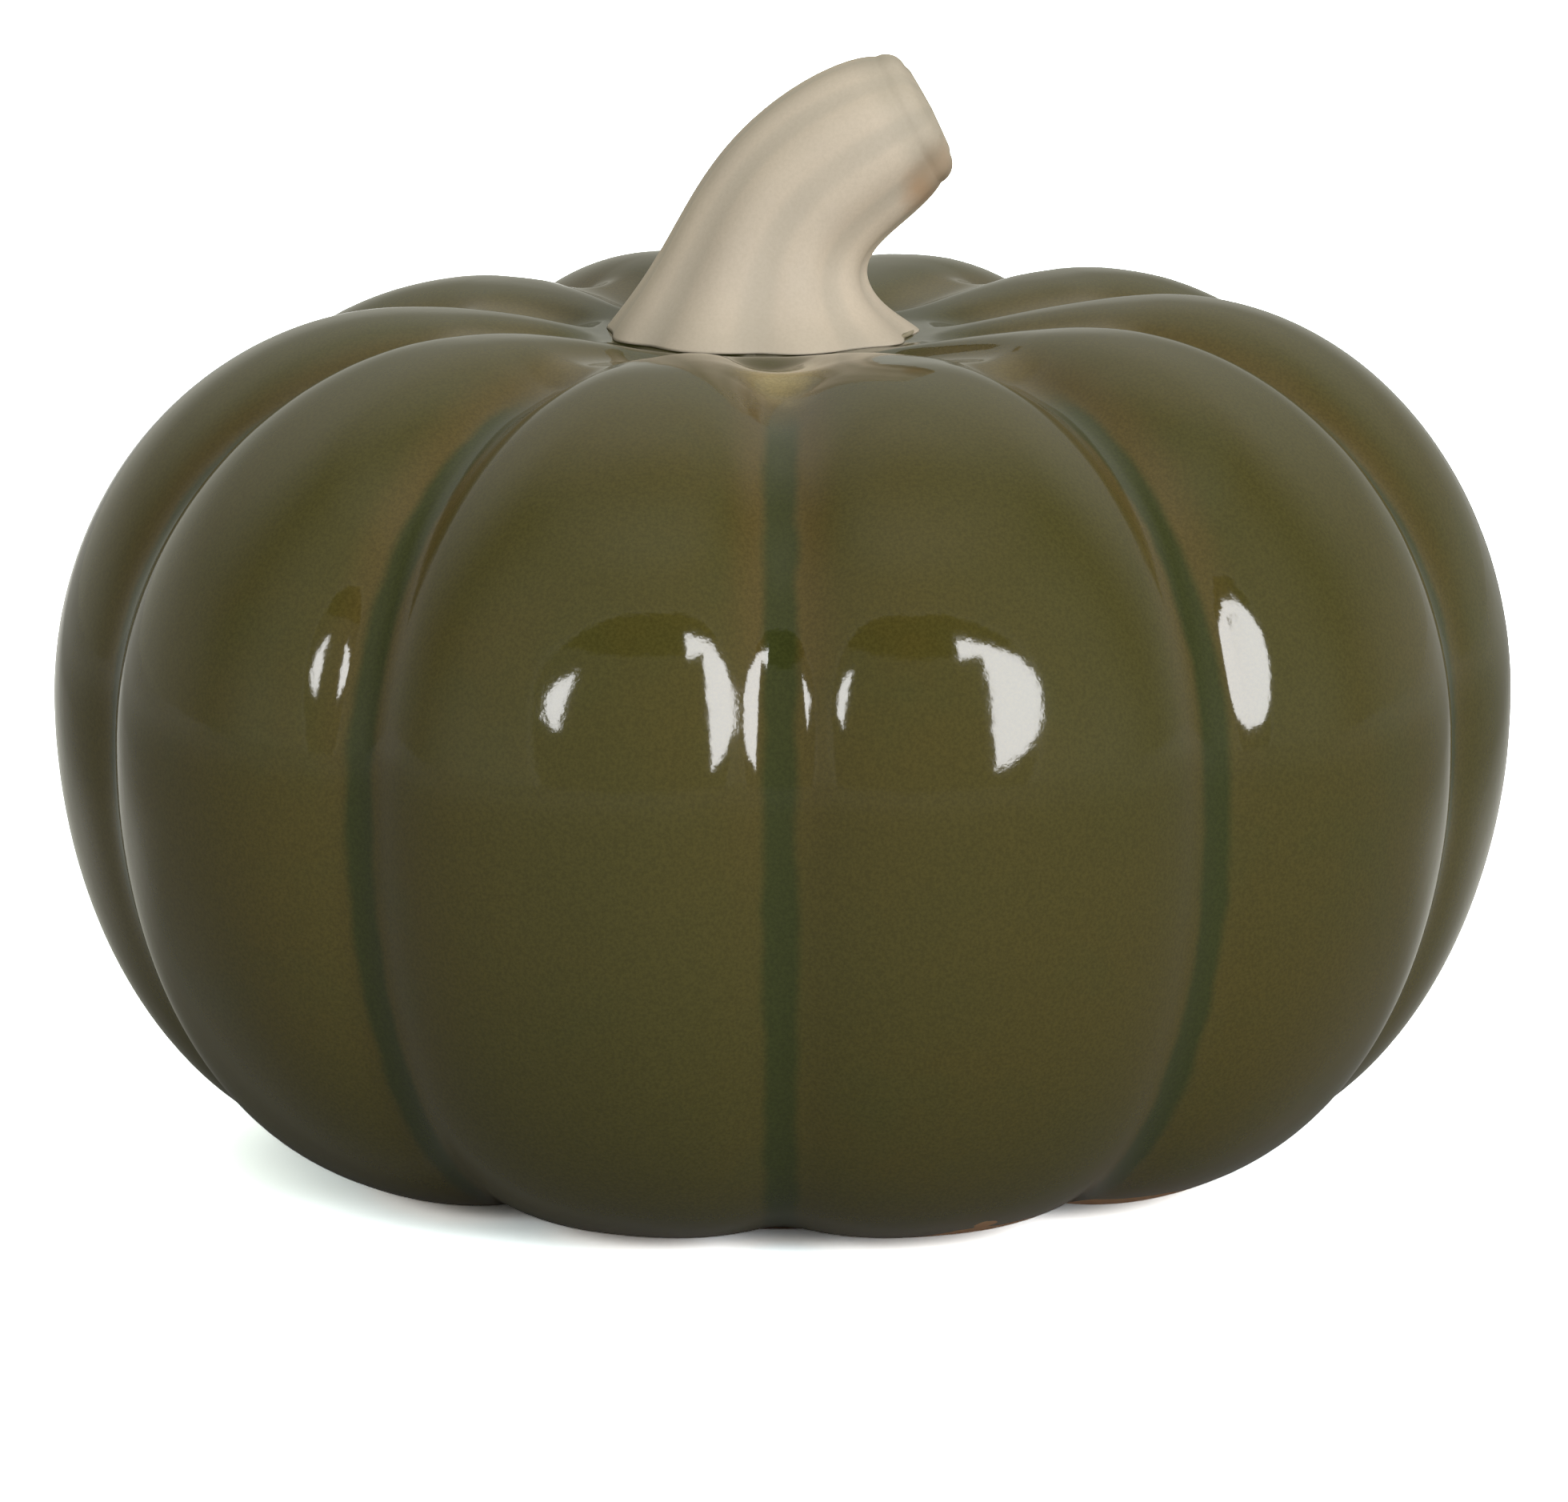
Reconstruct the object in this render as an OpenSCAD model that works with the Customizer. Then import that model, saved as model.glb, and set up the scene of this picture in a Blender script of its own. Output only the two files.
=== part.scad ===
// Ceramic pumpkin figure: a hollow ten-lobed glazed body with a bent, unglazed stem bonded on its crown.
// Millimetres, +Z up. The origin is the centre of the footprint, on the surface that the pumpkin stands on.
// The front is -Y, and a groove faces it. The stem leans towards +X.

/* [Body] */
// Radius over the lobes at the widest height
body_r = 90; // [80:1:100]
// Number of lobes
lobes = 10; // [8:2:12]
// Height of the widest level above the foot plane
equator_h = 56.4; // [50:0.2:62]
// Height of the lobes' crest above the foot plane
crown_h = 104.4; // [100:0.2:110]
// Radius of the ring on which the lobes' crest lies
crown_r = 46; // [42:1:50]
// Height of the stem's seat above the foot plane
seat_h = 101; // [98:0.1:102]
// Radius of the flat seat
seat_r = 20.2; // [20:0.1:22]
// How far the crest stands higher on the right than on the middle
crown_tilt = 1.1; // [0:0.1:2]

// Where the seat's centre lies, left of the middle
seat_x = -2.5; // [-3:0.1:0]

/* [Grooves] */
// Depth of a groove over the shoulder and the sides
groove_d = 5.3; // [4:0.1:6]
// Depth of a groove over the crown, round the stem
crown_groove_d = 2.1; // [1:0.1:3]
// Depth of a groove where it meets the foot
foot_groove_d = 1.4; // [0.5:0.1:2]
// Share of a half lobe that the groove's rounded bottom takes on the sides
fillet_share = 0.17; // [0.1:0.01:0.25]
// And over the crown, where the grooves are open and shallow
crown_fillet_share = 0.5; // [0.2:0.05:0.6]
// How flat the middle of a lobe is across, 2 for a parabola and more for a flatter middle with steeper flanks
lobe_power = 2.6; // [2:0.1:3]

/* [Foot] */
// Radius of the foot over the lobes
foot_r = 51; // [50:0.5:55]
// Outer radius of the level standing ring
ring_r = 48; // [48:0.5:49]
// Radius of the recess inside the standing ring, at the foot plane
recess_r = 40; // [30:1:40]
// Depth of the recess
recess_d = 3; // [2:0.5:4]
// Diameter of the vent hole in the base
vent_d = 8; // [6:0.5:10]
// Thickness of the cast wall
wall = 4.5; // [4:0.1:5]

/* [Stem] */
// Radius of the flared foot of the stem
skirt_r = 19.9; // [18.5:0.1:19.9]
// Radius of the stem's neck
neck_r = 11.3; // [10:0.1:12]
// How far the stem narrows from its neck to its cut end
tip_taper = 2.4; // [1.5:0.1:3]
// Height that the flutes stand above the valleys between them
flute_h = 0.7; // [0:0.1:1]
// Number of flutes
flutes = 9; // [6:1:12]
// Thickness of the stem's wall
stem_wall = 4; // [3.5:0.1:4.5]
// Diameter of the spigot that locates the stem in the crown
spigot_d = 15.6; // [14:0.1:16]
// Length of the spigot below the stem's foot
spigot_l = 4; // [3:0.5:5]
// Diameter of the drain hole through the spigot
drain_d = 9; // [6:0.5:9]
// Thickness of the adhesive between the seat and the stem
bond_t = 0.4; // [0.3:0.1:0.8]
// Outer diameter of the adhesive ring
bond_d = 33; // [20:1:34]

/* [Foot pads] */
// Diameter of a felt pad
pad_d = 8; // [6:0.5:8]
// Thickness of a felt pad
pad_t = 1; // [0.5:0.1:1.5]

/* [Hidden] */
$fn = 64;

half_lobe_cols = 5;             // mesh columns on half a lobe, outside
half_cavity_cols = 3;           // and inside
body_rows = 32;
cavity_rows = 15;
spigot_clearance = 0.3;         // radial
cavity_end = 2.76;              // place along the meridian where the cavity's floor starts
over = 1;                       // how far a cut runs past the face it opens

pad_ring_r = ring_r - pad_d / 2;
pad_lobes = [1, 3, 6, 8];       // the lobes that a pad sits under, counted round from the front groove

// The stem's axis: a Bezier curve that leaves the seat straight up and bends over to the right
stem_foot = [seat_x, pad_t + seat_h + bond_t];
stem_path = [stem_foot, stem_foot + [0, 15], stem_foot + [7, 20], stem_foot + [20.2, 26.9]];
stem_rows = 28;
stem_cols = 54;
skirt_reach = 0.14;             // share of the axis over which the flare dies away
flute_fade = 0.6;               // share of the flutes' height that is lost by the cut end
end_round = 2.6;                // radius of the rounding round the cut end
end_rows = 4;
end_bulge = 0.6;                // height of the cut end's middle over its rounded rim
hollow = [0.12, 0.84];          // the stretch of the axis that is hollow
cavity_cols = 24;

body_color = [0.31, 0.30, 0.17];
stem_color = [0.79, 0.74, 0.65];
adhesive_color = [0.72, 0.68, 0.58];
felt_color = [0.28, 0.25, 0.21];

function mix(a, b, t) = a + (b - a) * t;

// A smooth step from 0 to 1 as t goes from 0 to 1
function ease(t) =
    let (c = min(max(t, 0), 1))
        c * c * (3 - 2 * c);

// ---- Meshes made of closed rings, given from the top down, each counter-clockwise seen from above ----

module skin(rings, top, bottom) {
    n = len(rings[0]);
    last = (len(rings) - 1) * n;
    points = concat([for (ring = rings) each ring], [top, bottom]);
    top_i = last + n;
    bottom_i = top_i + 1;
    sides = [
        for (i = [0 : len(rings) - 2], j = [0 : n - 1])
            let (a = i * n + j, b = i * n + (j + 1) % n)
                each [[a, b, b + n], [a, b + n, a + n]]
    ];
    caps = [
        for (j = [0 : n - 1])
            let (k = (j + 1) % n)
                each [[top_i, k, j], [bottom_i, last + j, last + k]]
    ];
    polyhedron(points, concat(sides, caps), convexity = 6);
}

// ---- Body ----

// The crest of a lobe as [radius, height]. s runs over the crown (0 to 1), the shoulder (1 to 2) and down to
// the foot (2 to 3). The shoulder and the lower side are quarter ellipses.
function crest(s) =
    s < 1 ? [mix(seat_r, crown_r, s), mix(seat_h, crown_h, sin(90 * s))]
    : s < 2 ? [
        mix(crown_r, body_r, sin(90 * (s - 1))),
        mix(equator_h, crown_h, cos(90 * (s - 1)))
    ]
    : [mix(foot_r, body_r, cos(90 * (s - 2))), equator_h * (1 - sin(90 * (s - 2)))];

// The unit vector that points out of the body from the crest
function outward(s) =
    let (d = crest(min(s + 0.01, 3)) - crest(max(s - 0.01, 0)))
        [-d[1], d[0]] / norm(d);

// Depth of the grooves along the meridian: shallow over the crown, full from the shoulder on
function groove(s) =
    s < 2 ? crown_groove_d * ease(s / 0.25) + (groove_d - crown_groove_d) * ease((s - 0.75) / 0.4)
    : mix(groove_d, foot_groove_d, pow(s - 2, 1.1));

// Height of the surface above the groove's bottom, as a share of the groove's depth. v runs from the groove (0)
// to the middle of the lobe (1): a rounded bottom up to fillet, then the lobe. The two meet without a kink.
function lobe_share(v, fillet) =
    let (
        side = pow(1 - fillet, lobe_power - 1),
        scale = 1 / (side * (1 - fillet + lobe_power * fillet / 2))
    )
        v < fillet ? scale * lobe_power * side * v * v / (2 * fillet)
        : 1 - scale * pow(1 - v, lobe_power);

// Places across one lobe, from -1 to 1 without the last, closer together near the grooves
function lobe_places(half) = concat(
    [for (i = [0 : half - 1]) -1 + pow(i / half, 1.3)],
    [for (i = [0 : half - 1]) 1 - pow((half - i) / half, 1.3)]
);

// One ring of the body, inset from its outer face
function body_ring(s, half, inset) = [
    for (lobe = [0 : lobes - 1], u = lobe_places(half))
        let (
            angle = -90 + (lobe + (u + 1) / 2) * 360 / lobes,
            fillet = mix(crown_fillet_share, fillet_share, ease((s - 0.6) / 0.6)),
            p = crest(s) - (inset + groove(s) * (1 - lobe_share(1 - abs(u), fillet))) * outward(s),
            x = p[0] * cos(angle),
            lift = crown_tilt * x / body_r * pow(p[1] / crown_h, 3) * min(s, 1)
        )
            [x + seat_x * pow(1 - min(s, 1), 2), p[0] * sin(angle), p[1] + lift]
];

function flat_ring(r, h, half) = [
    for (lobe = [0 : lobes - 1], u = lobe_places(half))
        let (angle = -90 + (lobe + (u + 1) / 2) * 360 / lobes)
            [r * cos(angle), r * sin(angle), h]
];

module body_outside() {
    rings = [for (i = [0 : body_rows]) body_ring(3 * i / body_rows, half_lobe_cols, 0)];
    skin(
        concat(rings, [flat_ring(ring_r, 0, half_lobe_cols)]),
        [0, 0, seat_h],
        [0, 0, 0]
    );
}

module body_cavity() {
    rings = [
        for (i = [0 : cavity_rows])
            body_ring(cavity_end * i / cavity_rows, half_cavity_cols, wall)
    ];
    skin(rings, [0, 0, seat_h - wall], [0, 0, recess_d + wall]);
}

module body_shell() {
    color(body_color)
        translate([0, 0, pad_t])
            difference() {
                body_outside();
                body_cavity();
                // recess under the base, with a little draft
                translate([0, 0, -over])
                    cylinder(h = recess_d + over, r1 = recess_r + 1, r2 = recess_r - 1);
                // vent hole
                cylinder(h = recess_d + 2 * wall, d = vent_d);
                // hole for the stem's spigot
                translate([0, 0, seat_h - 2 * wall])
                    cylinder(h = 3 * wall, d = spigot_d + 2 * spigot_clearance);
            }
}

// ---- Stem ----

function bezier(p, t) =
    pow(1 - t, 3) * p[0] + 3 * pow(1 - t, 2) * t * p[1] + 3 * (1 - t) * t * t * p[2] + pow(t, 3) * p[3];

function bezier_way(p, t) =
    let (d = pow(1 - t, 2) * (p[1] - p[0]) + 2 * (1 - t) * t * (p[2] - p[1]) + t * t * (p[3] - p[2]))
        d / norm(d);

// The stem's mean radius along its axis
function stem_radius(t) =
    neck_r + (skirt_r - neck_r) * exp(-t / skirt_reach) - tip_taper * pow(t, 6);

// One ring square to the axis at t, inset from the mean radius and moved on along the axis
function stem_ring(t, cols, inset, flute, ahead) =
    let (c = bezier(stem_path, t), way = bezier_way(stem_path, t))
        [
            for (j = [0 : cols - 1])
                let (
                    angle = 360 * j / cols,
                    valley = flute * (1 - flute_fade * t) * (1 - cos(flutes * angle)) / 2,
                    r = stem_radius(t) - inset - valley
                )
                    [
                        c[0] + way[0] * ahead + r * cos(angle) * way[1],
                        r * sin(angle),
                        c[1] + way[1] * ahead - r * cos(angle) * way[0]
                    ]
        ];

function on_axis(t, ahead) =
    let (p = bezier(stem_path, t) + ahead * bezier_way(stem_path, t))
        [p[0], 0, p[1]];

module stem_outside() {
    end_rings = [
        for (i = [end_rows : -1 : 1])
            let (a = 90 * i / end_rows)
                stem_ring(1, stem_cols, end_round * (1 - cos(a)), flute_h, end_round * (sin(a) - 1))
    ];
    rings = [
        for (i = [stem_rows : -1 : 0])
            let (t = i / stem_rows)
                stem_ring(t, stem_cols, 0, flute_h, -end_round * pow(t, 8))
    ];
    skin(concat(end_rings, rings), on_axis(1, end_bulge), on_axis(0, 0));
}

module stem_cavity() {
    rings = [
        for (i = [cavity_rows : -1 : 0])
            stem_ring(mix(hollow[0], hollow[1], i / cavity_rows), cavity_cols, stem_wall, 0, 0)
    ];
    skin(rings, on_axis(hollow[1], 0), on_axis(hollow[0], 0));
}

module stem() {
    spigot_z = stem_foot[1] - spigot_l;
    color(stem_color)
        difference() {
            union() {
                stem_outside();
                translate([0, 0, spigot_z])
                    cylinder(h = spigot_l + over, d = spigot_d);
            }
            stem_cavity();
            translate([0, 0, spigot_z - over])
                cylinder(h = over + spigot_l + 1.5 * stem_wall, d = drain_d);
        }
}

module adhesive_ring() {
    color(adhesive_color)
        translate([0, 0, pad_t + seat_h])
            difference() {
                cylinder(h = bond_t, d = bond_d);
                translate([0, 0, -over])
                    cylinder(h = bond_t + 2 * over, d = spigot_d + 2 * spigot_clearance);
            }
}

module foot_pad(i) {
    color(felt_color)
        rotate(-90 + (pad_lobes[i - 1] + 0.5) * 360 / lobes)
            translate([pad_ring_r, 0, 0])
                cylinder(h = pad_t, d = pad_d);
}

body_shell();
stem();
adhesive_ring();
foot_pad(1);  // foot_pad_1
foot_pad(2);  // foot_pad_2
foot_pad(3);  // foot_pad_3
foot_pad(4);  // foot_pad_4
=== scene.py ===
import math

import bpy
import numpy as np
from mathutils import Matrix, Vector


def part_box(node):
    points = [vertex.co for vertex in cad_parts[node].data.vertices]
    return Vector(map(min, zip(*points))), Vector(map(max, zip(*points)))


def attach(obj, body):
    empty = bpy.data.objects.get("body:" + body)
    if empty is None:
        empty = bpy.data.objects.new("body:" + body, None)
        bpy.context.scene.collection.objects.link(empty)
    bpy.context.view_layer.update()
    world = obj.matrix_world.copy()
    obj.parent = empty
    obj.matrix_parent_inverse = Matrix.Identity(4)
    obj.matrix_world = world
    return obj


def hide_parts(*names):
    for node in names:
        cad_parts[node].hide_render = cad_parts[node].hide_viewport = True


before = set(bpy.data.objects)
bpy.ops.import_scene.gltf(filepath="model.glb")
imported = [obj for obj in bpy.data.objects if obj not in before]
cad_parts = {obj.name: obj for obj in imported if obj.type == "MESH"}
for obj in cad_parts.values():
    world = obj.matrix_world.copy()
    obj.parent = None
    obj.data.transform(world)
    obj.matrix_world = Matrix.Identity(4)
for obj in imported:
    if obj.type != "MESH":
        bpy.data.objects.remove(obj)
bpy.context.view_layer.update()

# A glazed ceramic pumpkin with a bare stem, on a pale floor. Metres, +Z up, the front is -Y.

MM = 0.001

# ---------------------------------------------------------------- sizes, from the frame

shell_low, shell_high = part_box("body_shell")
stem_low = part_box("stem")[0]
ring_low, ring_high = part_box("adhesive_ring")

FOOT_Z = shell_low.z                # the foot plane, on top of the felt pads
BODY_R = shell_high.x               # radius over the lobes
SEAT_Z = ring_low.z                 # the flat seat under the stem
STEM_Z = ring_high.z                # the stem's foot, on the adhesive

LOBES = 10
CREST_Z = FOOT_Z + 104.4 * MM       # top of the lobes
EQUATOR_Z = FOOT_Z + 56.4 * MM      # the widest level
CROWN_R = 46 * MM                   # ring on which the lobes' tops lie
SEAT_R = 20.2 * MM
SEAT_X = -2.5 * MM                  # the middle of the seat and of the stem's foot
FOOT_R = 51 * MM
RING_R = 48 * MM                    # outer edge of the level standing ring
RECESS_R = 40 * MM
RECESS_D = 3 * MM
RECESS_SLOPE = 1 * MM               # half of how far the recess narrows upwards
VENT_R = 4 * MM
SPIGOT_R = 7.8 * MM
SPIGOT_HOLE_R = 8.1 * MM
DRAIN_R = 4.5 * MM
WALL = 4.5 * MM
GROOVE_D = 5.3 * MM                 # depth of the grooves on the shoulder and the sides
CROWN_GROOVE_D = 2.1 * MM           # over the crown
FOOT_GROOVE_D = 1.4 * MM            # and at the foot
FILLET = 0.17                       # share of a half lobe that a groove's round bottom takes, on the sides
CROWN_FILLET = 0.5                  # and over the crown
LOBE_POWER = 2.6                    # how flat the middle of a lobe is across
CROWN_TILT = 1.1 * MM               # how far the right side stands higher than the middle

# ---------------------------------------------------------------- small helpers


def mix(a, b, t):
    return a + (b - a) * t


def smooth(t):
    t = np.clip(t, 0, 1)
    return t * t * (3 - 2 * t)


def closed_mesh(name, rings, top=None, bottom=None, loop=False):
    """A mesh of closed rings. Poles close its ends, or loop joins the last ring to the first."""
    rings = np.asarray(rings, float)
    count, n = rings.shape[:2]
    points = [rings.reshape(-1, 3)]
    faces = []
    for i in range(count if loop else count - 1):
        a, b = i * n, (i + 1) % count * n
        faces += [(a + j, b + j, b + (j + 1) % n, a + (j + 1) % n) for j in range(n)]
    if not loop:
        top_i, last = count * n, (count - 1) * n
        points += [np.array([top, bottom], float)]
        faces += [(top_i, j, (j + 1) % n) for j in range(n)]
        faces += [(top_i + 1, last + (j + 1) % n, last + j) for j in range(n)]
    mesh = bpy.data.meshes.new(name)
    mesh.from_pydata(np.concatenate(points).tolist(), [], faces)
    mesh.polygons.foreach_set("use_smooth", [True] * len(mesh.polygons))
    mesh.update()
    obj = bpy.data.objects.new(name, mesh)
    bpy.context.scene.collection.objects.link(obj)
    return obj


def store(obj, name, values):
    """Keeps one number for each point of the mesh, for its material to read."""
    attribute = obj.data.attributes.new(name, "FLOAT", "POINT")
    attribute.data.foreach_set("value", np.asarray(values, np.float32).ravel())


def arc(start, end, corner, steps):
    """Points on a quarter round from start to end, both beside the corner, without the first."""
    start, end, corner = (np.array(p, float) for p in (start, end, corner))
    centre = start + end - corner
    turn = [math.pi / 2 * k / steps for k in range(1, steps + 1)]
    return [centre + (start - centre) * math.cos(a) + (end - centre) * math.sin(a) for a in turn]


# ---------------------------------------------------------------- body

HALF_COLS = 18                      # columns on half a lobe
COLS = 2 * HALF_COLS * LOBES
CROWN_ROWS, SHOULDER_ROWS, SIDE_ROWS, CAVITY_ROWS = 34, 68, 76, 26
CAVITY_END = 2.76                   # place along the meridian where the cavity's floor starts
EDGE = 0.4 * MM                     # rounding of the holes' rims
UNGLAZED = 3.1                      # meridian values over this are bare: the base and the inside
SKIN = 0.05 * MM                    # how far the glazed surface lies inside the frame's box
WAVE_H = 0.12 * MM                  # slow unevenness of the casting

# Small differences of a hand-finished casting, counted to the right from the front groove:
# how far each lobe's top stands off the mean, and how far each groove lies off its even place
LOBE_LIFT = np.array([-0.6, 0.4, 0.5, 0.1, -0.4, 0.5, -0.1, 0.0, 0.4, -0.5]) * MM
GROOVE_SHIFT = np.radians([-0.2, 0.5, 0.1, 0.1, 0.0, 0.0, 0.0, 0.1, 0.4, 0.7])


def crest(s):
    """Radius and height over the lobes. s is 0 to 1 over the crown, 2 at the equator and 3 at the foot."""
    quarter = np.pi / 2
    crown = (mix(SEAT_R, CROWN_R, s), mix(SEAT_Z, CREST_Z, np.sin(quarter * np.clip(s, 0, 1))))
    a = quarter * np.clip(s - 1, 0, 1)
    shoulder = (mix(CROWN_R, BODY_R, np.sin(a)), mix(EQUATOR_Z, CREST_Z, np.cos(a)))
    b = quarter * np.clip(s - 2, 0, 1)
    side = (mix(FOOT_R, BODY_R, np.cos(b)), mix(EQUATOR_Z, FOOT_Z, np.sin(b)))
    parts = zip(crown, shoulder, side)
    return np.stack([np.where(s < 1, c, np.where(s < 2, h, d)) for c, h, d in parts], -1)


def outward(s):
    """The meridian's normal."""
    step = crest(np.minimum(s + 0.01, 3)) - crest(np.maximum(s - 0.01, 0))
    normal = np.stack([-step[..., 1], step[..., 0]], -1)
    return normal / np.linalg.norm(normal, axis=-1, keepdims=True)


def groove_depth(s):
    upper = CROWN_GROOVE_D * smooth(s / 0.25) + (GROOVE_D - CROWN_GROOVE_D) * smooth((s - 0.75) / 0.4)
    return np.where(s < 2, upper, mix(GROOVE_D, FOOT_GROOVE_D, np.clip(s - 2, 0, 1) ** 1.1))


def lobe_share(s):
    """Height over the groove's bottom, as a share of its depth: a round bottom that runs into the lobe."""
    fillet = mix(CROWN_FILLET, FILLET, smooth((s - 0.6) / 0.6))
    side = (1 - fillet) ** (LOBE_POWER - 1)
    scale = 1 / (side * (1 - fillet + LOBE_POWER * fillet / 2))
    bottom = scale * LOBE_POWER * side * GROOVE_V**2 / (2 * fillet)
    return np.where(GROOVE_V < fillet, bottom, 1 - scale * (1 - GROOVE_V) ** LOBE_POWER)


def columns():
    """For each column: its angle round the body, its lobe and its place across it, from -1 to 1."""
    v = (np.arange(HALF_COLS) / HALF_COLS) ** 1.4
    rise = (1 - np.arange(HALF_COLS) / HALF_COLS) ** 1.4
    u = np.tile(np.concatenate([-1 + v, 1 - rise]), LOBES)
    lobe = np.repeat(np.arange(LOBES), 2 * HALF_COLS)
    pitch = 2 * np.pi / LOBES
    start = GROOVE_SHIFT[lobe] + lobe * pitch
    end = GROOVE_SHIFT[(lobe + 1) % LOBES] + (lobe + 1) * pitch
    return mix(start, end, (u + 1) / 2) - np.pi / 2, lobe, u


ANGLE, LOBE, ACROSS = columns()
GROOVE_V = 1 - np.abs(ACROSS)       # 0 at a groove, 1 on the middle of a lobe


def body_ring(s, inset=0.0):
    """One ring of the outside, or of the cavity with an inset."""
    share = lobe_share(s)
    depth = inset + SKIN + groove_depth(s) * (1 - share)
    top = smooth(s) * (1 - smooth((s - 1) / 1.2))
    wave = WAVE_H * np.sin(3 * ANGLE + 2.1 * s) * np.sin(5 * ANGLE - 3.3 * s + 1)
    depth += abs(wave * smooth(s) * smooth(3 - s))
    p = crest(s) - depth[:, None] * outward(s)
    x, y = p[:, 0] * np.cos(ANGLE), p[:, 0] * np.sin(ANGLE)
    height = (p[:, 1] - FOOT_Z) / (CREST_Z - FOOT_Z)
    lift = CROWN_TILT * x / BODY_R * height**3 * min(s, 1) + LOBE_LIFT[LOBE] * share * top
    return np.stack([x + SEAT_X * (1 - min(s, 1)) ** 2, y, p[:, 1] + lift], -1)


def flat_ring(r, z):
    return np.stack([r * np.cos(ANGLE), r * np.sin(ANGLE), np.full(COLS, z)], -1)


def along_meridian():
    """Places of the outside's rings, from the seat to the foot."""
    crown = np.linspace(0, 1, CROWN_ROWS, endpoint=False)
    shoulder = np.linspace(1, 2, SHOULDER_ROWS, endpoint=False)
    return np.concatenate([crown, shoulder, np.linspace(2, 3, SIDE_ROWS)])


def make_body():
    seat_under = SEAT_Z - WALL
    base_z = FOOT_Z + RECESS_D
    floor_z = base_z + WALL
    seat = [(SPIGOT_HOLE_R, seat_under), (SPIGOT_HOLE_R, SEAT_Z - EDGE)]
    seat += arc(seat[-1], (SPIGOT_HOLE_R + EDGE, SEAT_Z), (SPIGOT_HOLE_R, SEAT_Z), 2)
    seat += [(r * MM, SEAT_Z) for r in (11, 14, 17)]
    under = [(RING_R, FOOT_Z), (44 * MM, FOOT_Z), (RECESS_R + RECESS_SLOPE + EDGE, FOOT_Z)]
    under += arc(under[-1], (RECESS_R + RECESS_SLOPE, FOOT_Z + EDGE), (RECESS_R + RECESS_SLOPE, FOOT_Z), 3)
    under += [(RECESS_R - 0.6 * MM, base_z - EDGE)]
    under += arc(under[-1], (RECESS_R - RECESS_SLOPE - EDGE, base_z), (RECESS_R - RECESS_SLOPE, base_z), 3)
    under += [(r * MM, base_z) for r in (34, 26, 18, 10)] + [(VENT_R + EDGE, base_z)]
    under += arc(under[-1], (VENT_R, base_z + EDGE), (VENT_R, base_z), 2)
    under += [(VENT_R, floor_z)] + [(r * MM, floor_z) for r in (12, 24, 36, 48)]
    places = along_meridian()
    cavity = np.linspace(CAVITY_END, 0, CAVITY_ROWS)
    rings = [flat_ring(*p) for p in seat]
    rings += [body_ring(s) for s in places]
    rings += [flat_ring(*p) for p in under]
    rings += [body_ring(s, WALL) for s in cavity]
    body = closed_mesh("pumpkin_body", rings, loop=True)
    meridian = [0.0] * len(seat) + list(places) + [UNGLAZED + 0.1] * (len(under) + len(cavity))
    store(body, "meridian", np.repeat(meridian, COLS))
    radius = np.linalg.norm(np.array(rings)[:, :, :2], axis=-1)
    store(body, "groove_mm", GROOVE_V * np.pi / LOBES * radius / MM)
    return body


# ---------------------------------------------------------------- stem

# The axis is a Bezier curve in the XZ plane, in millimetres from the middle of the stem's foot
STEM_CURVE = ((0, 0), (0, 15), (7, 20), (20.2, 26.9))
STEM_PATH = [np.array([SEAT_X + x * MM, STEM_Z + z * MM]) for x, z in STEM_CURVE]
SKIRT_R = 19.9 * MM
NECK_R = 11.3 * MM
TIP_TAPER = 2.4 * MM
SKIRT_REACH = 0.14                  # share of the axis over which the flare dies away
FLUTES = 9
FLUTE_TURN = math.radians(6)        # where the first ridge lies, from the inside of the bend
FLUTE_H = 0.7 * MM
FLUTE_FADE = 0.6                    # share of a flute's height that is gone at the cut end
END_ROUND = 2.6 * MM
END_BULGE = 0.6 * MM
STEM_WALL = 4 * MM
LIP = 0.39 * MM                     # how far the skirt's edge hangs down over the adhesive
PLEAT_H = 0.5 * MM                  # how much deeper the valleys are at the skirt's edge
UNEVEN_H = 0.2 * MM                 # of the skirt's scallops, and of the cut end's four flat sides
TRIM = 0.15 * MM                    # keeps the bend inside the frame's box
STEM_HOLLOW = (0.12, 0.84)          # where the hollow starts and ends along the axis
STEM_COLS, STEM_ROWS, END_ROWS, STEM_CAVITY_ROWS = 168, 110, 8, 16
STEM_ANGLE = 2 * np.pi * np.arange(STEM_COLS) / STEM_COLS


def bezier(t):
    p = STEM_PATH
    return (1 - t) ** 3 * p[0] + 3 * (1 - t) ** 2 * t * p[1] + 3 * (1 - t) * t * t * p[2] + t**3 * p[3]


def bezier_way(t):
    p = STEM_PATH
    d = (1 - t) ** 2 * (p[1] - p[0]) + 2 * (1 - t) * t * (p[2] - p[1]) + t * t * (p[3] - p[2])
    return d / np.linalg.norm(d)


def stem_radius(t):
    return NECK_R + (SKIRT_R - NECK_R) * math.exp(-t / SKIRT_REACH) - TIP_TAPER * t**6


def flute_valley():
    """0 on a ridge and 1 in a valley, round the stem, with ridges of slightly uneven width."""
    a = STEM_ANGLE - FLUTE_TURN
    return (1 - np.cos(FLUTES * a + 0.5 * np.sin(2 * a + 0.6))) / 2


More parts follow.
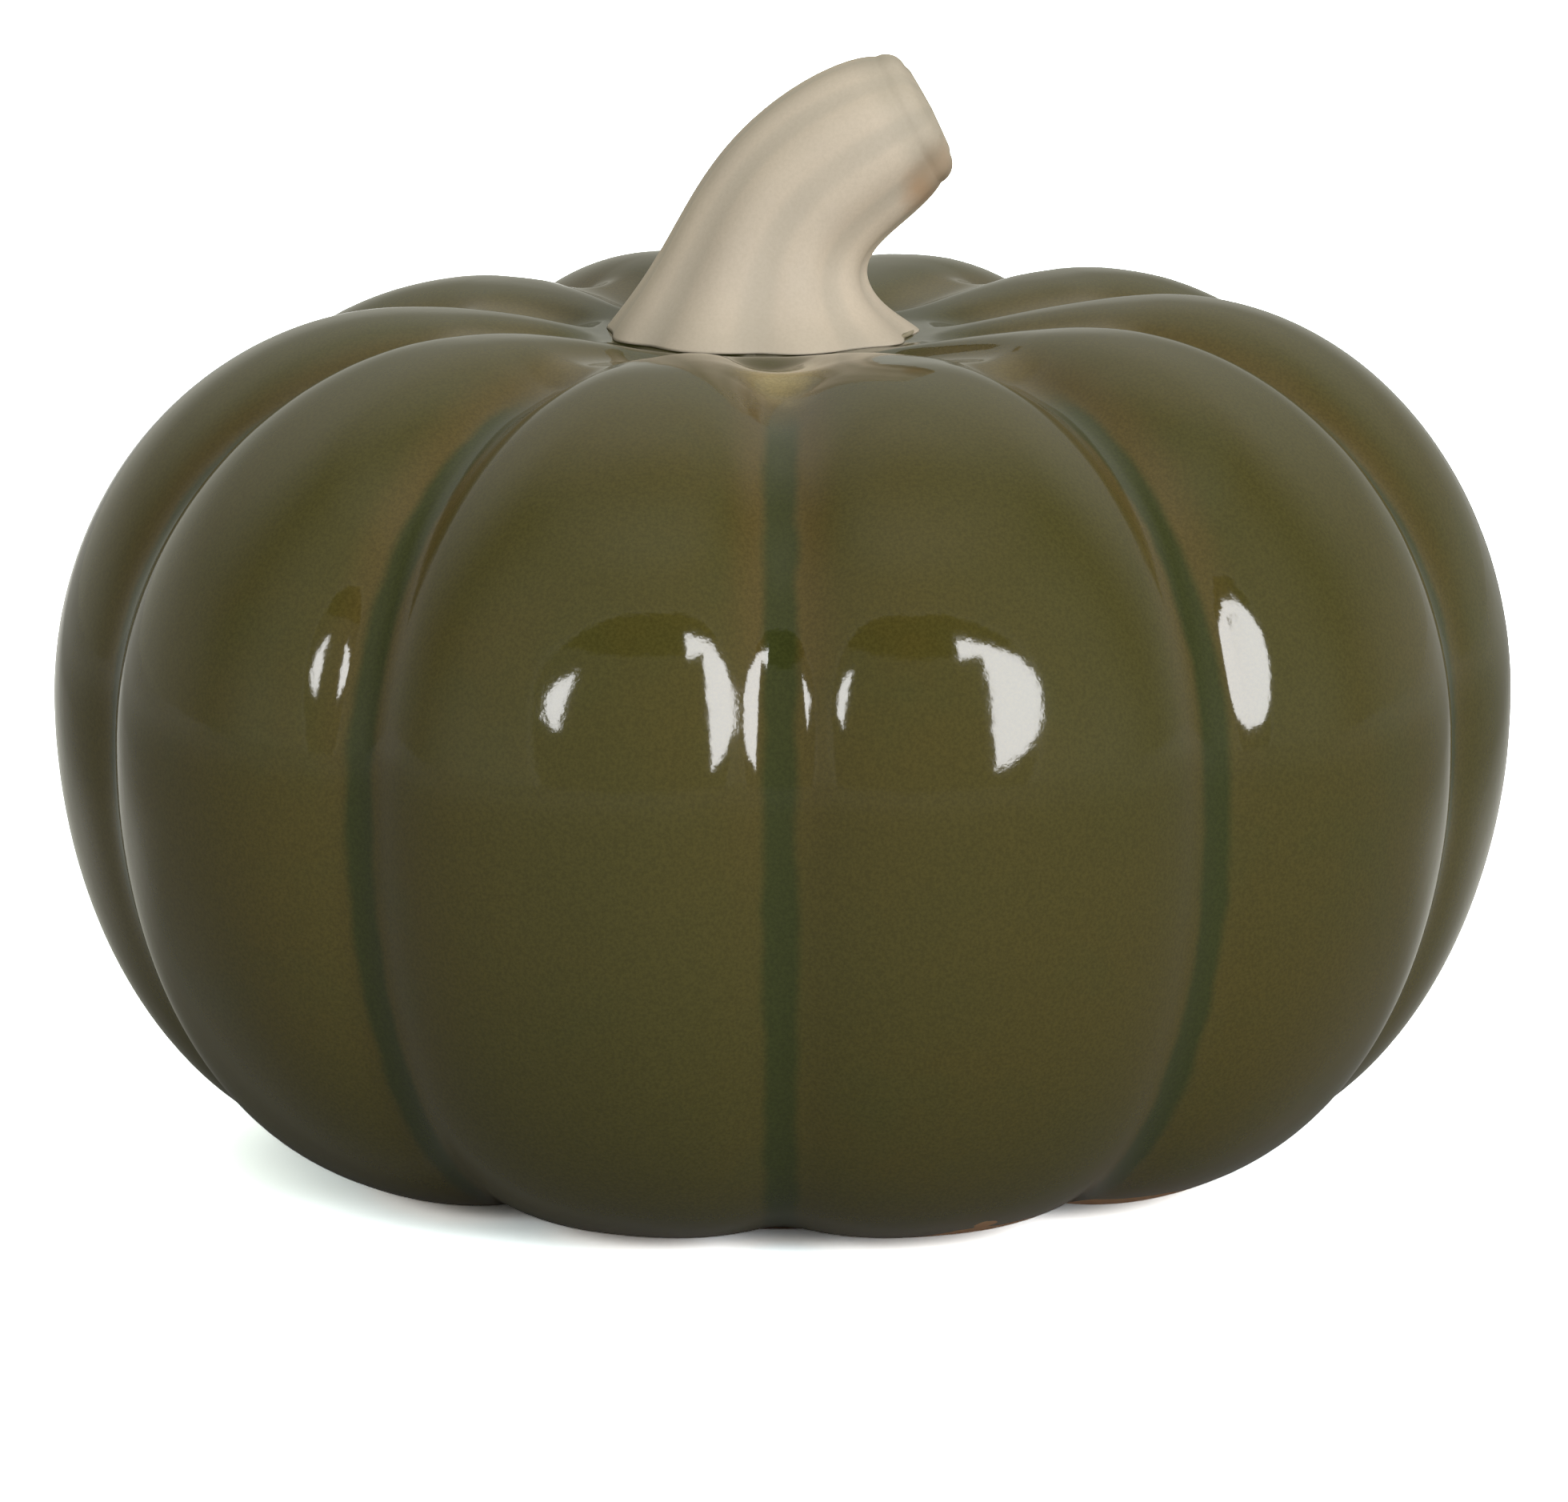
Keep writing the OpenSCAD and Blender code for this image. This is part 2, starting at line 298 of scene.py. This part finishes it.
def stem_ring(t, inset=0.0, ahead=0.0, plain=False):
    """A ring across the axis at t, moved ahead along it. A plain one is round and doesn't droop."""
    centre, way = bezier(t) + ahead * bezier_way(t), bezier_way(t)
    r = np.full(STEM_COLS, stem_radius(t) - inset)
    droop = 0
    if not plain:
        flutes = FLUTE_H * (1 - FLUTE_FADE * t) + PLEAT_H * math.exp(-t / 0.1)
        scallops = (1 + np.sin(11 * STEM_ANGLE + 1.3) * np.sin(4 * STEM_ANGLE + 0.4)) * math.exp(-t / 0.02)
        square = 1 - np.cos(4 * STEM_ANGLE + 0.5) * smooth((t - 0.55) / 0.45)
        r -= flutes * flute_valley() + UNEVEN_H * (scallops + square) + TRIM * smooth(t / 0.3)
        droop = LIP * math.exp(-t / 0.03)
    x = r * np.cos(STEM_ANGLE)
    return np.stack([centre[0] + x * way[1], r * np.sin(STEM_ANGLE), centre[1] - x * way[0] - droop], -1)


def round_ring(r, z, x=0.0):
    return np.stack([x + r * np.cos(STEM_ANGLE), r * np.sin(STEM_ANGLE), np.full(STEM_COLS, z)], -1)


def on_axis(t, ahead=0.0):
    x, z = bezier(t) + ahead * bezier_way(t)
    return (x, 0, z)


def make_stem():
    face = [stem_ring(1, NECK_R * k, END_BULGE * (1 - (1 - k) ** 2)) for k in (0.6, 0.45, 0.3)]
    quarter = [math.pi / 2 * i / END_ROWS for i in range(END_ROWS, 0, -1)]
    rim = [stem_ring(1, END_ROUND * (1 - math.cos(a)), END_ROUND * (math.sin(a) - 1)) for a in quarter]
    places = np.linspace(1, 0, STEM_ROWS) ** 1.15
    shaft = [stem_ring(t, 0, -END_ROUND * t**8) for t in places]
    spigot_end = stem_low.z
    foot = [round_ring(SKIRT_R - 2 * MM, STEM_Z, SEAT_X)]
    foot += [round_ring(r, STEM_Z) for r in (SPIGOT_R + 5 * MM, SPIGOT_R)]
    spigot = [round_ring(SPIGOT_R, spigot_end + EDGE), round_ring(SPIGOT_R - EDGE, spigot_end)]
    spigot += [round_ring(DRAIN_R, z) for z in (spigot_end, STEM_Z)]
    hollow = np.linspace(*STEM_HOLLOW, STEM_CAVITY_ROWS)
    cavity = [stem_ring(t, STEM_WALL, plain=True) for t in hollow]
    rings = face + rim + shaft + foot + spigot + cavity
    stem = closed_mesh("pumpkin_stem", rings, on_axis(1, END_BULGE), on_axis(STEM_HOLLOW[1]))
    below = len(foot) + len(spigot) + len(cavity)
    along = [1.0] * (len(face) + len(rim)) + list(places) + [0.0] * below
    store(stem, "along", np.append(np.repeat(along, STEM_COLS), [1.0, 0.0]))
    store(stem, "valley", np.append(np.tile(flute_valley(), len(rings)), [0.5, 0.5]))
    return stem


# ---------------------------------------------------------------- adhesive and felt

ADHESIVE_COLS, PAD_COLS = 96, 64
SQUEEZE = 0.35 * MM                 # half of how much the adhesive's outer edge varies
PAD_ROUND = 0.25 * MM
PAD_FRAY = 0.012                    # half of how much a pad's outline varies, as a share of its radius


def turns(count):
    """Angles of count even steps round a circle."""
    return 2 * np.pi * np.arange(count) / count


def bead_section(width, height, steps=10):
    """A flat strip's section with bulging sides, counter-clockwise, centred on 0 in both directions."""
    half_w, half_h = width / 2, height / 2
    turn = [math.pi * (k / steps - 0.5) for k in range(steps + 1)]
    right = [(half_w - half_h + half_h * math.cos(a), half_h * math.sin(a)) for a in turn]
    return right + [(-x, -z) for x, z in right]


def make_adhesive():
    """A flat ring of adhesive whose outer edge is squeezed out unevenly."""
    outer, inner = ring_high.x, SPIGOT_HOLE_R
    middle_r, middle_z = (outer + inner) / 2, (ring_low.z + ring_high.z) / 2
    angles = turns(ADHESIVE_COLS)
    wobble = SQUEEZE * (1 + np.sin(5 * angles + 1) * np.sin(2 * angles))
    rings = []
    for x, z in bead_section(outer - inner, ring_high.z - ring_low.z):
        r = middle_r + x - (wobble if x > 0 else 0)
        z_all = np.full(ADHESIVE_COLS, middle_z + z)
        rings.append(np.stack([r * np.cos(angles), r * np.sin(angles), z_all], -1))
    return closed_mesh("stem_adhesive", rings[::-1], loop=True)


def make_pad(index):
    """A felt dot with soft edges and a slightly frayed outline."""
    low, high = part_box(f"foot_pad_{index}")
    centre, r, thick = (low + high) / 2, (high.x - low.x) / 2, high.z - low.z
    angles = turns(PAD_COLS)
    frayed = 1 - PAD_FRAY * (1 + np.sin(23 * angles + index) * np.sin(9 * angles))
    profile = [(0.3 * r, thick), (0.7 * r, thick), (r - PAD_ROUND, thick)]
    profile += arc(profile[-1], (r, thick - PAD_ROUND), (r, thick), 4)
    profile += [(r, PAD_ROUND)]
    profile += arc(profile[-1], (r - PAD_ROUND, 0), (r, 0), 4)
    profile += [(0.7 * r, 0), (0.3 * r, 0)]
    rings = [
        np.stack([
            centre.x + x * frayed * np.cos(angles),
            centre.y + x * frayed * np.sin(angles),
            np.full(PAD_COLS, low.z + z),
        ], -1)
        for x, z in profile
    ]
    top, bottom = (centre.x, centre.y, high.z), (centre.x, centre.y, low.z)
    return closed_mesh(f"felt_pad_{index}", rings, top, bottom)


# ---------------------------------------------------------------- node trees


class Tree:
    """A node tree with short calls: numbers or sockets go in, and a socket comes out."""

    def __init__(self, tree):
        self.tree = tree
        tree.nodes.clear()

    def node(self, kind, **settings):
        node = self.tree.nodes.new(kind)
        for key, value in settings.items():
            setattr(node, key, value)
        return node

    def put(self, socket, value):
        if isinstance(value, bpy.types.NodeSocket):
            self.tree.links.new(value, socket)
        elif value is not None:
            socket.default_value = value

    def math(self, operation, a, b=None, c=None):
        node = self.node("ShaderNodeMath", operation=operation)
        for socket, value in zip(node.inputs, (a, b, c)):
            self.put(socket, value)
        return node.outputs[0]

    def plus(self, first, *others):
        for value in others:
            first = self.math("ADD", first, value)
        return first

    def times(self, first, *others):
        for value in others:
            first = self.math("MULTIPLY", first, value)
        return first

    def steps(self, value, start, end, low=0.0, high=1.0):
        """A smooth step of value, from low at start to high at end."""
        node = self.node("ShaderNodeMapRange", interpolation_type="SMOOTHSTEP")
        settings = {"Value": value, "From Min": start, "From Max": end, "To Min": low, "To Max": high}
        for name, setting in settings.items():
            self.put(node.inputs[name], setting)
        return node.outputs["Result"]

    def within(self, value, low, high, soft=0.5):
        """1 where value is between low and high, with soft ends."""
        start = self.steps(value, low - soft, low + soft)
        return self.times(start, self.steps(value, high + soft, high - soft))

    def blend(self, share, a, b, how="MIX"):
        """Colour a with a share of colour b over it. The node's sockets 6, 7 and 2 are those for colours."""
        node = self.node("ShaderNodeMix", data_type="RGBA", blend_type=how)
        self.put(node.inputs["Factor"], share)
        self.put(node.inputs[6], a)
        self.put(node.inputs[7], b)
        return node.outputs[2]

    def colour(self, red, green, blue):
        node = self.node("ShaderNodeCombineColor")
        for socket, value in zip(node.inputs, (red, green, blue)):
            self.put(socket, value)
        return node.outputs[0]

    def noise(self, where, scale, detail=2.0, roughness=0.5):
        node = self.node("ShaderNodeTexNoise")
        self.put(node.inputs["Vector"], where)
        self.put(node.inputs["Scale"], scale)
        self.put(node.inputs["Detail"], detail)
        self.put(node.inputs["Roughness"], roughness)
        return node.outputs["Fac"]

    def attribute(self, name):
        return self.node("ShaderNodeAttribute", attribute_name=name).outputs["Fac"]

    def place(self):
        return self.node("ShaderNodeTexCoord").outputs["Object"]

    def split(self, vector):
        """A vector's X, Y and Z."""
        node = self.node("ShaderNodeSeparateXYZ")
        self.put(node.inputs[0], vector)
        return tuple(node.outputs)

    def distance(self, where, point):
        node = self.node("ShaderNodeVectorMath", operation="DISTANCE")
        self.put(node.inputs[0], where)
        self.put(node.inputs[1], point)
        return node.outputs["Value"]

    def bump(self, height, distance, normal=None):
        node = self.node("ShaderNodeBump")
        self.put(node.inputs["Distance"], distance)
        self.put(node.inputs["Height"], height)
        self.put(node.inputs["Normal"], normal)
        return node.outputs["Normal"]


# ---------------------------------------------------------------- materials


def srgb(*screen):
    """A linear colour from three screen values of 0 to 255."""
    shares = [value / 255 for value in screen]
    return tuple(c / 12.92 if c <= 0.04045 else ((c + 0.055) / 1.055) ** 2.4 for c in shares) + (1.0,)


OLIVE = srgb(83, 78, 37)
OLIVE_WARM = srgb(88, 79, 36)
OLIVE_GREEN = srgb(77, 78, 39)
POOL = srgb(57, 66, 31)             # where the glaze is thick
BREAK_BROWN = srgb(105, 87, 47)     # where it is thin
CREAM_BREAK_AND_STEM_REFLECTION = srgb(184, 164, 112)   # and thinnest, and the colour of the painted reflection of the stem
# Bare clay: painted light on the outside, lighter than its own colour so the foot line shows in the shade
# under the body; painted shade on the base and the inside
CLAY = srgb(205, 163, 126)
CLAY_DARK = srgb(184, 140, 104)
SHADED_CLAY_UNDER = srgb(150, 118, 94)

CREAM = srgb(234, 219, 199)
CREAM_DULL = srgb(225, 211, 193)
FLUTE_SHADE_GREY = srgb(202, 193, 177)
END_AND_SKIRT_SHADE_GREY = srgb(188, 179, 161)
GRAIN_BROWN = srgb(184, 170, 143)
FLASH_BROWN = srgb(186, 138, 88)

ADHESIVE_PALE = srgb(186, 174, 146)
ADHESIVE_DARK = srgb(160, 148, 120)
FELT_PALE = srgb(96, 85, 70)
FELT_DARK = srgb(62, 54, 44)

STEM_REFLECTION_SPOT = (0, -41 * MM, CREST_Z)                     # the painted reflection of the stem, over the front groove
CHIP = (24 * MM, -60.1 * MM, FOOT_Z + 3.6 * MM)     # the chip in the glaze, just above the foot
FLASH = (20.5 * MM, -5.5 * MM, STEM_Z + 18.3 * MM)  # the kiln flash, under the stem's cut end


def new_material(name):
    material = bpy.data.materials.new(name)
    material.use_nodes = True
    tree = Tree(material.node_tree)
    shader = tree.node("ShaderNodeBsdfPrincipled")
    output = tree.node("ShaderNodeOutputMaterial")
    tree.put(output.inputs[0], shader.outputs[0])
    return material, tree, shader.inputs


def glaze_colour(tree, where, meridian):
    """Speckled olive that drifts, breaks brown and cream beside the grooves and pools dark in them, with a
    painted reflection of the stem over the front groove.
    """
    drift = tree.noise(where, 22, 3)
    patches = tree.noise(where, 45, 4, 0.6)
    colour = tree.blend(tree.steps(drift, 0.35, 0.65), OLIVE, OLIVE_WARM)
    colour = tree.blend(tree.steps(patches, 0.45, 0.75, 0, 0.5), colour, OLIVE_GREEN)

    height = tree.split(where)[2]
    off_groove = tree.math("MULTIPLY_ADD", tree.noise(where, 160, 3), 1.6, tree.attribute("groove_mm"))
    flank = tree.steps(off_groove, 8.5, 3.4)
    upper = tree.steps(height, 48 * MM, 94 * MM, 0.05, 0.6)
    outer = tree.steps(meridian, 0.3, 1.0, 0.55, 1.0)
    colour = tree.blend(tree.times(flank, upper, outer), colour, BREAK_BROWN)

    # Painted reflection: cream where the stem shows in the glaze over the front groove; the faint cream on
    # the crown's crests beside the other grooves is thin glaze
    crest_band = tree.math("MULTIPLY_ADD", tree.noise(where, 140, 3), 0.3, tree.math("SUBTRACT", meridian, 0.15))
    ridge = tree.times(tree.steps(crest_band, 0.2, 0.5), tree.steps(crest_band, 1.1, 0.75))
    stem_reflection = tree.steps(tree.distance(where, STEM_REFLECTION_SPOT), 24 * MM, 9 * MM, 0.1, 0.9)
    pale = tree.times(ridge, stem_reflection, tree.steps(off_groove, 8.0, 1.5))
    colour = tree.blend(pale, colour, CREAM_BREAK_AND_STEM_REFLECTION)

    pool = tree.times(tree.steps(off_groove, 3.5, 2.0), tree.steps(meridian, 1.02, 1.2, 0.0, 0.85))
    dish = tree.steps(meridian, 0.4, 0.05, 0.0, 0.6)
    colour = tree.blend(tree.math("MAXIMUM", pool, dish), colour, POOL)

    grain = tree.steps(tree.noise(where, 2600, 2, 0.7), 0.3, 0.7, 0.86, 1.14)
    return tree.blend(1.0, colour, tree.colour(grain, grain, grain), "MULTIPLY")


def bare_share(tree, where, meridian):
    """1 on bare clay: below an uneven line at the foot, in the chip, and on the base and the inside."""
    x, _, height = tree.split(where)
    wiped = tree.times(tree.steps(x, 12 * MM, 24 * MM), tree.steps(x, 60 * MM, 45 * MM))
    foot_line = tree.math("MULTIPLY_ADD", tree.noise(where, 130, 4), 1.6 * MM, FOOT_Z + 0.4 * MM)
    foot_line = tree.math("MULTIPLY_ADD", wiped, 1.9 * MM, foot_line)
    below = tree.math("LESS_THAN", height, foot_line)
    off_chip = tree.math("MULTIPLY_ADD", tree.noise(where, 700, 3), 1.2 * MM, tree.distance(where, CHIP))
    chipped = tree.math("LESS_THAN", off_chip, 2.0 * MM)
    unglazed = tree.math("GREATER_THAN", meridian, UNGLAZED)
    return tree.math("MAXIMUM", tree.math("MAXIMUM", below, chipped), unglazed)


def glaze_material():
    """Gloss glaze with a faint ripple, over clay that is bare at the foot."""
    material, tree, shader = new_material("olive_glaze")
    where, meridian = tree.place(), tree.attribute("meridian")
    bare = bare_share(tree, where, meridian)
    # Painted light: the bare clay outside is lighter than its own colour; painted shade: darker clay on the
    # base and the inside
    clay = tree.blend(tree.noise(where, 900, 4), CLAY, CLAY_DARK)
    clay = tree.blend(tree.steps(meridian, 3.0, UNGLAZED), clay, SHADED_CLAY_UNDER)
    tree.put(shader["Base Color"], tree.blend(bare, glaze_colour(tree, where, meridian), clay))
    tree.put(shader["Roughness"], tree.math("MULTIPLY_ADD", bare, 0.75, 0.06))
    ripple = tree.bump(tree.noise(where, 210, 2), 0.03 * MM)
    tree.put(shader["Normal"], tree.bump(tree.noise(where, 1500, 2), 0.005 * MM, ripple))
    shader["IOR"].default_value = 1.5
    return material


def stem_material():
    """Bare cream ceramic with a fine dry grain, painted shade in the flutes, on the cut end and over the
    skirt, and a kiln flash under the cut end.
    """
    material, tree, shader = new_material("bare_ceramic")
    where = tree.place()
    along, valley = tree.attribute("along"), tree.attribute("valley")
    colour = tree.blend(tree.steps(tree.noise(where, 60, 3), 0.3, 0.7), CREAM, CREAM_DULL)
    patchy = tree.steps(tree.noise(where, 45, 2), 0.3, 0.7, 0.25, 0.5)
    # Painted shade: grey in the flutes' valleys, in patches
    colour = tree.blend(tree.times(tree.steps(valley, 0.45, 1.0), patchy), colour, FLUTE_SHADE_GREY)
    flash = tree.math("MULTIPLY_ADD", tree.noise(where, 260, 3), 3 * MM, tree.distance(where, FLASH))
    colour = tree.blend(tree.steps(flash, 9 * MM, 4.5 * MM, 0, 0.7), colour, FLASH_BROWN)
    # Painted shade: greyer over the cut end and over the skirt
    cut_end, skirt = tree.steps(along, 0.88, 0.99, 0, 0.45), tree.steps(along, 0.12, 0.0, 0, 0.25)
    colour = tree.blend(tree.math("MAXIMUM", cut_end, skirt), colour, END_AND_SKIRT_SHADE_GREY)
    grain = tree.noise(where, 2200, 3, 0.7)
    colour = tree.blend(tree.steps(grain, 0.3, 0.75, 0, 0.16), colour, GRAIN_BROWN)
    tree.put(shader["Base Color"], colour)
    tree.put(shader["Roughness"], tree.steps(grain, 0.2, 0.8, 0.6, 0.75))
    soft = tree.bump(tree.noise(where, 350, 3), 0.06 * MM)
    tree.put(shader["Normal"], tree.bump(grain, 0.02 * MM, soft))
    return material


def adhesive_material():
    material, tree, shader = new_material("cured_adhesive")
    where = tree.place()
    colour = tree.blend(tree.noise(where, 300, 3), ADHESIVE_PALE, ADHESIVE_DARK)
    tree.put(shader["Base Color"], colour)
    tree.put(shader["Roughness"], tree.steps(tree.noise(where, 600, 2), 0.3, 0.7, 0.3, 0.5))
    tree.put(shader["Normal"], tree.bump(tree.noise(where, 900, 2), 0.03 * MM))
    return material


def felt_material():
    """Pressed wool felt: crossing fibres of mixed browns."""
    material, tree, shader = new_material("brown_felt")
    where = tree.place()
    fibres = tree.noise(where, 2400, 5, 0.75)
    colour = tree.blend(tree.steps(fibres, 0.3, 0.7), FELT_DARK, FELT_PALE)
    tree.put(shader["Base Color"], colour)
    tree.put(shader["Roughness"], tree.steps(fibres, 0.2, 0.8, 0.85, 1.0))
    tree.put(shader["Normal"], tree.bump(fibres, 0.08 * MM))
    shader["Sheen Weight"].default_value = 0.4
    return material


def add_piece(obj, material, slot, *nodes):
    obj.data.materials.append(material)
    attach(obj, "root")
    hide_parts(*nodes)


# ---------------------------------------------------------------- camera and floor

MIDDLE_Z = FOOT_Z + 54 * MM
CAMERA_DISTANCE = 1.062
CAMERA_ELEVATION = math.radians(11.0)
LENS = 197.2
SENSOR = 36.0
FLOOR_HALF = 6.0
FLOOR_GREY = 0.42                   # under the object
FLOOR_FAR_GREY = 0.59
FLOOR_WASH = (6.0, 6.6, 7.0)        # how much brighter the camera sees the floor


def make_camera():
    level = CAMERA_DISTANCE * math.cos(CAMERA_ELEVATION)
    eye = Vector((0, -level, MIDDLE_Z + CAMERA_DISTANCE * math.sin(CAMERA_ELEVATION)))
    aim = Vector((0.2 * MM, 0, MIDDLE_Z - 5.4 * MM))
    data = bpy.data.cameras.new("camera")
    data.lens, data.sensor_width = LENS, SENSOR
    data.clip_start, data.clip_end = 0.05, 50
    camera = bpy.data.objects.new("camera", data)
    camera.location = eye
    camera.rotation_euler = (aim - eye).to_track_quat("-Z", "Y").to_euler()
    bpy.context.scene.collection.objects.link(camera)
    bpy.context.scene.camera = camera


def floor_material():
    """White to the camera, as if washed out. It lights the object as grey: lighter behind and to the left."""
    material = bpy.data.materials.new("washed_floor")
    material.use_nodes = True
    tree = Tree(material.node_tree)
    place = tree.place()
    x, y, _ = tree.split(place)
    grey = tree.steps(tree.distance(place, (0, 0, 0)), 0.25, 1.0, FLOOR_GREY, FLOOR_FAR_GREY)
    back = tree.steps(y, 0.0, 0.5)
    left = tree.times(tree.steps(x, 0.1, -0.1), tree.steps(x, -0.36, -0.2), back)
    narrow = tree.steps(tree.math("ABSOLUTE", x), 0.27, 0.12)
    near = tree.times(tree.steps(y, 0.0, 0.1), tree.steps(y, 0.45, 0.15), narrow)
    for share, more in ((back, 0.12), (left, 0.7), (near, 0.65)):
        grey = tree.math("MULTIPLY_ADD", share, more, grey)
    seen = tree.node("ShaderNodeLightPath").outputs["Is Camera Ray"]
    washed = [tree.math("MULTIPLY_ADD", seen, more, grey) for more in FLOOR_WASH]
    diffuse = tree.node("ShaderNodeBsdfDiffuse")
    tree.put(diffuse.inputs["Color"], tree.colour(*washed))
    output = tree.node("ShaderNodeOutputMaterial")
    tree.put(output.inputs[0], diffuse.outputs[0])
    return material


def make_floor():
    corners = [(x * FLOOR_HALF, y * FLOOR_HALF, 0) for x, y in ((-1, -1), (1, -1), (1, 1), (-1, 1))]
    mesh = bpy.data.meshes.new("floor")
    mesh.from_pydata(corners, [], [(0, 1, 2, 3)])
    mesh.materials.append(floor_material())
    floor = bpy.data.objects.new("floor", mesh)
    bpy.context.scene.collection.objects.link(floor)


# ---------------------------------------------------------------- studio light

TENT_LEAN = math.radians(20)        # how far the tent's front leans back
BOX_LEVEL = 15.0                    # radiance of the softboxes
ROOM_LEVEL = 0.28                   # of the room in front of the tent's opening
TENT_LEVEL = 0.18                   # of the tent's walls, at the least
WHITE = (1, 1, 1, 1)                # the softboxes' colour
WARM_WHITE = (1, 0.995, 0.87, 1)    # the tent's and the room's


def outline(tree, way, centre, half, power=2.2):
    """A rounded shape in the leaning front of the tent: 1 on its edge, less inside."""
    x, y, z = way
    up = tree.math("MULTIPLY_ADD", z, math.cos(TENT_LEAN), tree.math("MULTIPLY", y, math.sin(TENT_LEAN)))
    powers = []
    for value, middle, reach in zip((x, up), centre, half):
        off = tree.math("ABSOLUTE", tree.math("DIVIDE", tree.math("SUBTRACT", value, middle), reach))
        powers.append(tree.math("POWER", off, power))
    return tree.math("MAXIMUM", tree.plus(*powers), tree.steps(y, -0.1, 0.0, 0.0, 9.0))


def filled(tree, edge):
    return tree.steps(edge, 1.02, 0.98)


def turn_and_rise(tree, way):
    """Degrees to the right of the front, and above the horizon."""
    x, y, z = way
    turn = tree.math("ARCTAN2", x, tree.math("MULTIPLY", y, -1))
    return [tree.math("MULTIPLY", angle, 180 / math.pi) for angle in (turn, tree.math("ARCSINE", z))]


def softboxes(tree, way):
    """A large box on the right, with a corner that reaches inwards, and a small slanted one on the left."""
    turn, rise = turn_and_rise(tree, way)
    corner = tree.times(tree.within(turn, 20.5, 31), tree.within(rise, 33.5, 60))
    right = tree.math("MAXIMUM", tree.within(turn, 30, 70), corner)
    right = tree.times(right, filled(tree, outline(tree, way, (0.1, 0.03), (0.56, 0.335), 2.5)))
    slant = tree.math("MULTIPLY_ADD", rise, -0.15, turn)
    left = tree.within(slant, -80, -36.5)
    left = tree.times(left, filled(tree, outline(tree, way, (-0.25, 0.05), (0.335, 0.2))))
    return tree.times(tree.math("MAXIMUM", right, left), BOX_LEVEL)


def tent_walls(tree, way):
    x, y, z = way
    ahead = tree.steps(y, 0.1, -0.45, 0.0, 0.22)
    behind = tree.times(tree.steps(y, 0.0, 0.6), tree.steps(z, 0.3, 0.8, 0.25, 0.5))
    horizon = tree.steps(z, 0.4, 0.1, 0.0, 0.07)
    top = tree.steps(z, 0.8, 0.97, 0.0, 0.2)
    low_behind = tree.times(tree.steps(y, 0.3, 0.8), tree.steps(z, 0.5, 0.2))
    sideways = tree.times(low_behind, tree.steps(x, 0.4, -0.4, -0.1, 0.04))
    return tree.plus(TENT_LEVEL, ahead, behind, horizon, top, sideways)


def make_light():
    """A white tent, open in front where the camera stands, with a strong softbox on each side."""
    world = bpy.data.worlds.new("studio")
    bpy.context.scene.world = world
    world.use_nodes = True
    tree = Tree(world.node_tree)
    way = tree.split(tree.node("ShaderNodeTexCoord").outputs["Generated"])
    rise = turn_and_rise(tree, way)[1]

    edge = outline(tree, way, (0.01, -0.035), (0.64, 0.5), 2.7)
    opening = filled(tree, edge)
    seam = tree.times(tree.within(edge, 1.0, 1.07, 0.02), 0.15)
    tent = tree.plus(tent_walls(tree, way), seam)
    dark_top = tree.times(opening, tree.steps(rise, 34.5, 35.5))
    room = tree.times(tree.math("SUBTRACT", 1.0, dark_top), ROOM_LEVEL)
    level = tree.plus(tree.times(tent, tree.math("SUBTRACT", 1.0, opening)), tree.times(room, opening))
    boxes = softboxes(tree, way)

    light = tree.node("ShaderNodeBackground")
    on_box = tree.math("GREATER_THAN", boxes, 1.0)
    tree.put(light.inputs["Color"], tree.blend(on_box, WARM_WHITE, WHITE))
    tree.put(light.inputs["Strength"], tree.math("MAXIMUM", level, boxes))
    backdrop = tree.node("ShaderNodeBackground")
    backdrop.inputs["Color"].default_value = WHITE
    chooser = tree.node("ShaderNodeMixShader")
    tree.put(chooser.inputs[0], tree.node("ShaderNodeLightPath").outputs["Is Camera Ray"])
    tree.put(chooser.inputs[1], light.outputs[0])
    tree.put(chooser.inputs[2], backdrop.outputs[0])
    output = tree.node("ShaderNodeOutputWorld")
    tree.put(output.inputs[0], chooser.outputs[0])
    bpy.context.scene.view_settings.view_transform = "Standard"


make_camera()
make_floor()
make_light()
add_piece(make_body(), glaze_material(), "glazed_body", "body_shell")
add_piece(make_stem(), stem_material(), "bare_stem", "stem")
add_piece(make_adhesive(), adhesive_material(), "adhesive", "adhesive_ring")
felt = felt_material()
for pad in (1, 2, 3, 4):
    add_piece(make_pad(pad), felt, "felt", f"foot_pad_{pad}")
